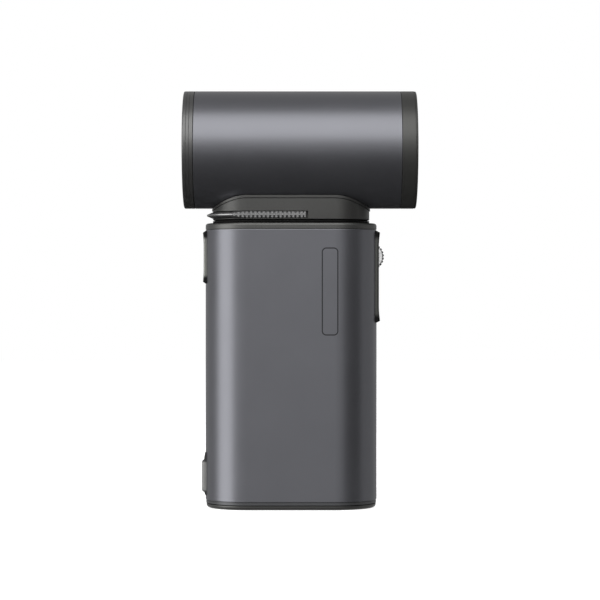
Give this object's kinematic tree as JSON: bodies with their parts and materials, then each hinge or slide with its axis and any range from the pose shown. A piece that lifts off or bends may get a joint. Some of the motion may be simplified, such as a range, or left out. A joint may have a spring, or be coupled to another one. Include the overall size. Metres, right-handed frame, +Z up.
{
  "type": "air mattress pump",
  "caption": "Cordless hand-held turbo air pump: metal tube fan head with a pull-off intake filter, swivelling on a short neck over a flat battery handle with a speed wheel",
  "frame": {"origin": "middle of the foot pad's underside, on the swivel axis", "axes": "+X is the blowing direction of the head, +Y the back, +Z up"},
  "size_m": [0.0836, 0.0424, 0.1499],
  "materials": {
    "anodised_sleeve": "bead-blasted, dark blue-grey anodised",
    "anodised_tube": "bead-blasted, dark blue-grey anodised",
    "chassis_plastic": "moulded black",
    "cap_plastic": "fine satin, dark warm grey",
    "trim_plastic": "satin dark grey",
    "foot_rubber": "matte silicone",
    "cell_wrap": "plain shrink wrap",
    "nickel": "plain nickel strip",
    "circuit_board": "green solder mask",
    "panel_plastic": "satin black",
    "smoked_window": "smoked, polished",
    "steel": "plain",
    "dial_metal": "bright satin",
    "button_plastic": "satin grey",
    "port_shell": "plain",
    "cover_rubber": "matte dark grey",
    "washer_plastic": "low-friction plastic",
    "lead_sheath": "flexible sheath",
    "duct_plastic": "moulded black",
    "isolator_rubber": "soft",
    "ring_plastic": "satin dark warm grey",
    "lamination": "stacked steel",
    "winding_copper": "enamelled copper",
    "cast_aluminium": "turned",
    "impeller_plastic": "moulded grey",
    "magnet": "nickel plated",
    "grille_plastic": "moulded black",
    "filter_cloth": "perforated screen",
    "slider_metal": "satin, notched"
  },
  "bodies": {
    "handle": {"body_sleeve": "anodised_sleeve", "chassis": "chassis_plastic", "top_cap": "cap_plastic", "bottom_cap": "cap_plastic", "bottom_trim_ring": "trim_plastic", "foot_pad": "foot_rubber", "battery_cell_left": "cell_wrap", "battery_cell_right": "cell_wrap", "nickel_strip_bottom": "nickel", "nickel_strip_top": "nickel", "main_board": "circuit_board", "dial_sensor": "circuit_board", "switch_board": "circuit_board", "usb_board": "circuit_board", "display_module": "circuit_board", "control_panel": "panel_plastic", "button_frame": "panel_plastic", "display_window": "smoked_window", "dial_axle": "steel", "power_switch": "steel", "usb_c_port": "port_shell", "swivel_spindle": "steel", "swivel_washer": "washer_plastic", "detent_disc": "steel", "spindle_nut": "steel", "handle_lead": "lead_sheath", "bottom_screw_left": "steel", "bottom_screw_right": "steel"},
    "head": {"neck_housing": "cap_plastic", "saddle_collar": "cap_plastic", "release_spring": "steel", "neck_screw_left": "steel", "neck_screw_right": "steel", "clamp_plate": "steel", "head_tube": "anodised_tube", "fan_duct": "duct_plastic", "isolator_front": "isolator_rubber", "isolator_back": "isolator_rubber", "keeper_ring": "steel", "outlet_ring": "ring_plastic", "stator_housing": "duct_plastic", "stator_core": "lamination", "stator_winding": "winding_copper", "bearing_front": "steel", "bearing_rear": "steel", "motor_end_cap": "cast_aluminium", "driver_board": "circuit_board", "tail_cone": "duct_plastic", "head_lead": "lead_sheath"},
    "fan_rotor": {"impeller": "impeller_plastic", "rotor_magnet": "magnet", "motor_shaft": "steel"},
    "filter_cap": {"intake_ring": "ring_plastic", "intake_grille": "grille_plastic", "filter_screen": "filter_cloth", "magnet_ring": "magnet"},
    "release_slider": {"release_slider": "slider_metal"},
    "speed_dial": {"speed_dial": "dial_metal"},
    "power_button": {"power_button": "button_plastic"},
    "port_cover": {"port_cover": "cover_rubber"}
  },
  "joints": [
    {"name": "head_swivel", "type": "hinge", "parent": "handle", "child": "head", "pos_m": [0, 0, 0.1034], "axis": [0, 0, 1], "range_deg": [-90, 90]},
    {"name": "fan_spin", "type": "hinge", "parent": "head", "child": "fan_rotor", "pos_m": [0, 0, 0.1288], "axis": [1, 0, 0], "continuous": true},
    {"name": "filter_pull", "type": "slide", "parent": "head", "child": "filter_cap", "axis": [-1, 0, 0], "range_m": [0, 0.02]},
    {"name": "release_slide", "type": "slide", "parent": "head", "child": "release_slider", "axis": [1, 0, 0], "range_m": [0, 0.0006], "stiffness_N_per_m": 2000, "springref_m": -0.001, "deforming": ["release_spring"]},
    {"name": "dial_turn", "type": "hinge", "parent": "handle", "child": "speed_dial", "pos_m": [0.0284, 0, 0.0903], "axis": [0, 1, 0], "continuous": true},
    {"name": "button_press", "type": "slide", "parent": "handle", "child": "power_button", "axis": [1, 0, 0], "range_m": [0, 0.0005], "stiffness_N_per_m": 3000, "springref_m": -0.0005},
    {"name": "port_cover_hinge", "type": "hinge", "parent": "handle", "child": "port_cover", "pos_m": [-0.0307, 0, 0.0194], "axis": [0, 1, 0], "range_deg": [0, 100]}
  ]
}
